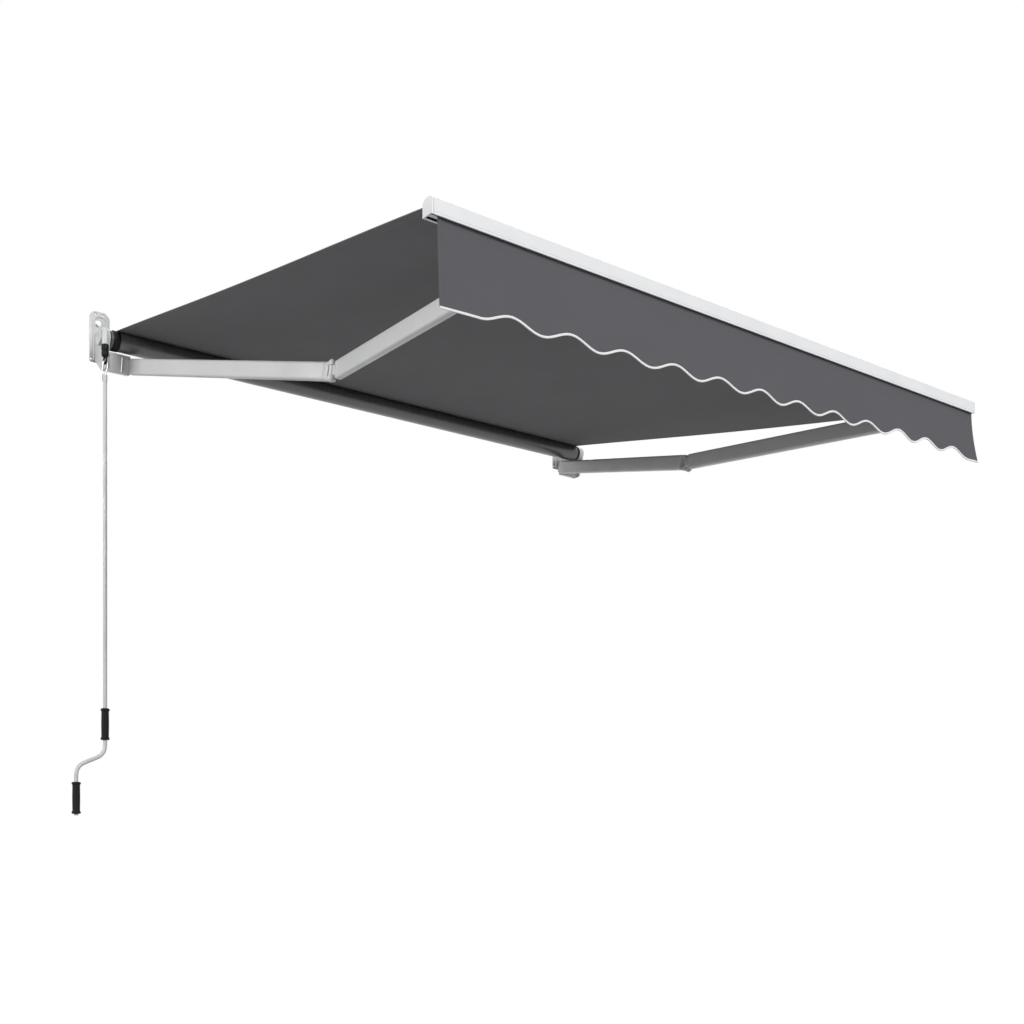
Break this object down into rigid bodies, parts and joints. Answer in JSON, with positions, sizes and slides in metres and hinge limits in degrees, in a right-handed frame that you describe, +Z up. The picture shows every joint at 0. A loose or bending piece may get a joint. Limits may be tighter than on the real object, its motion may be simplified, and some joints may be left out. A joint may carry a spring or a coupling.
{
  "type": "retractable awning",
  "caption": "Wall-mounted folding-arm awning shown extended, with a sloping cloth canopy, scalloped valance, front bar, roller, worm gear and hanging hand crank.",
  "frame": {"origin": "centre of the left wall plate's back face, on the wall plane", "axes": "+Z up, +Y into the wall, so the canopy reaches out along -Y; +X along the roller from the crank end to the far end"},
  "size_m": [2.6762, 2.1403, 1.9836],
  "materials": {
    "bracket_paint": "satin light grey powder coat",
    "arm_paint": "satin white powder coat",
    "bar_paint": "satin white powder coat",
    "crank_paint": "satin white",
    "steel": "zinc plated",
    "roller_metal": "plain tube",
    "black_plastic": "moulded",
    "canopy_cloth": "woven, charcoal",
    "valance_cloth": "woven, grey",
    "binding_cloth": "white tape",
    "keder": "plain cord"
  },
  "bodies": {
    "wall_frame": {"left_wall_plate": "bracket_paint", "right_wall_plate": "bracket_paint", "left_end_bracket": "bracket_paint", "right_end_bracket": "bracket_paint", "left_bracket_bolt_1": "steel", "left_bracket_bolt_2": "steel", "right_bracket_bolt_1": "steel", "right_bracket_bolt_2": "steel", "left_bearing_bush": "black_plastic", "right_bearing_bush": "black_plastic", "gearbox_housing": "bracket_paint", "gearbox_cover": "bracket_paint", "worm_sleeve": "black_plastic", "left_shoulder_bracket": "bracket_paint", "right_shoulder_bracket": "bracket_paint", "left_shoulder_pin": "steel", "right_shoulder_pin": "steel", "canopy": "canopy_cloth"},
    "roller": {"roller_tube": "roller_metal", "fabric_roll": "canopy_cloth", "left_roller_plug": "black_plastic", "right_roller_plug": "black_plastic", "worm_wheel": "steel"},
    "crank_drive": {"worm_shaft": "steel", "crank_eye": "black_plastic", "crank_hook": "steel", "crank_rod": "crank_paint"},
    "upper_grip_body": {"upper_grip": "black_plastic"},
    "lower_grip_body": {"lower_grip": "black_plastic"},
    "left_upper_arm_body": {"left_shoulder_knuckle": "arm_paint", "left_upper_arm": "arm_paint", "left_elbow_fork": "arm_paint", "left_elbow_pin": "steel", "left_arm_spring": "steel", "left_spring_anchor": "steel"},
    "left_forearm_body": {"left_elbow_tongue": "arm_paint", "left_forearm": "arm_paint", "left_wrist_knuckle": "arm_paint"},
    "right_upper_arm_body": {"right_shoulder_knuckle": "arm_paint", "right_upper_arm": "arm_paint", "right_elbow_fork": "arm_paint", "right_elbow_pin": "steel", "right_arm_spring": "steel", "right_spring_anchor": "steel"},
    "right_forearm_body": {"right_elbow_tongue": "arm_paint", "right_forearm": "arm_paint", "right_wrist_knuckle": "arm_paint"},
    "front_bar_body": {"front_bar": "bar_paint", "front_bar_left_cap": "bar_paint", "front_bar_right_cap": "bar_paint", "left_front_bracket": "arm_paint", "right_front_bracket": "arm_paint", "left_wrist_pin": "steel", "right_wrist_pin": "steel", "left_front_bolt": "steel", "right_front_bolt": "steel", "canopy_keder": "keder", "valance_keder": "keder", "valance": "valance_cloth", "valance_binding": "binding_cloth"}
  },
  "joints": [
    {"name": "left_shoulder", "type": "hinge", "parent": "wall_frame", "child": "left_upper_arm_body", "pos_m": [0.069, -0.105, -0.129], "axis": [0, -0.1814, 0.9834], "range_deg": [0, 69.7], "deforming": ["canopy"]},
    {"name": "left_elbow", "type": "hinge", "parent": "left_upper_arm_body", "child": "left_forearm_body", "pos_m": [0.35601, -1.16354, -0.32423], "axis": [0, -0.1814, 0.9834], "range_deg": [-150.07, 0]},
    {"name": "left_wrist", "type": "hinge", "parent": "left_forearm_body", "child": "front_bar_body", "pos_m": [0.26901, -2.05533, -0.48871], "axis": [0, -0.1814, 0.9834], "range_deg": [0, 80.37]},
    {"name": "right_shoulder", "type": "hinge", "parent": "wall_frame", "child": "right_upper_arm_body", "pos_m": [2.397, -0.105, -0.129], "axis": [0, -0.1814, 0.9834], "range_deg": [-69.71, 0]},
    {"name": "right_elbow", "type": "hinge", "parent": "right_upper_arm_body", "child": "right_forearm_body", "pos_m": [2.10999, -1.16354, -0.32423], "axis": [0, -0.1814, 0.9834], "range_deg": [0, 150.07]},
    {"name": "roller_spin", "type": "hinge", "parent": "wall_frame", "child": "roller", "pos_m": [1.233, -0.125, -0.053], "axis": [-1, 0, 0], "range_deg": [0, 2880.1]},
    {"name": "crank_spin", "type": "hinge", "parent": "wall_frame", "child": "crank_drive", "pos_m": [-0.0372, -0.1569, -0.1], "axis": [0, 0, 1], "range_deg": [0, 20160.5]},
    {"name": "upper_grip_spin", "type": "hinge", "parent": "crank_drive", "child": "upper_grip_body", "pos_m": [-0.0372, -0.1569, -1.5], "axis": [0, 0, 1], "continuous": true},
    {"name": "lower_grip_spin", "type": "hinge", "parent": "crank_drive", "child": "lower_grip_body", "pos_m": [-0.1512, -0.1569, -1.8], "axis": [0, 0, 1], "continuous": true}
  ],
  "couplings": [
    {"joint": "left_elbow", "follows": "left_shoulder", "ratio": -2.153},
    {"joint": "left_wrist", "follows": "left_shoulder", "ratio": 1.153},
    {"joint": "right_shoulder", "follows": "left_shoulder", "ratio": -1},
    {"joint": "right_elbow", "follows": "left_shoulder", "ratio": 2.153},
    {"joint": "roller_spin", "follows": "left_shoulder", "ratio": 41.32},
    {"joint": "crank_spin", "follows": "left_shoulder", "ratio": 289.24}
  ]
}
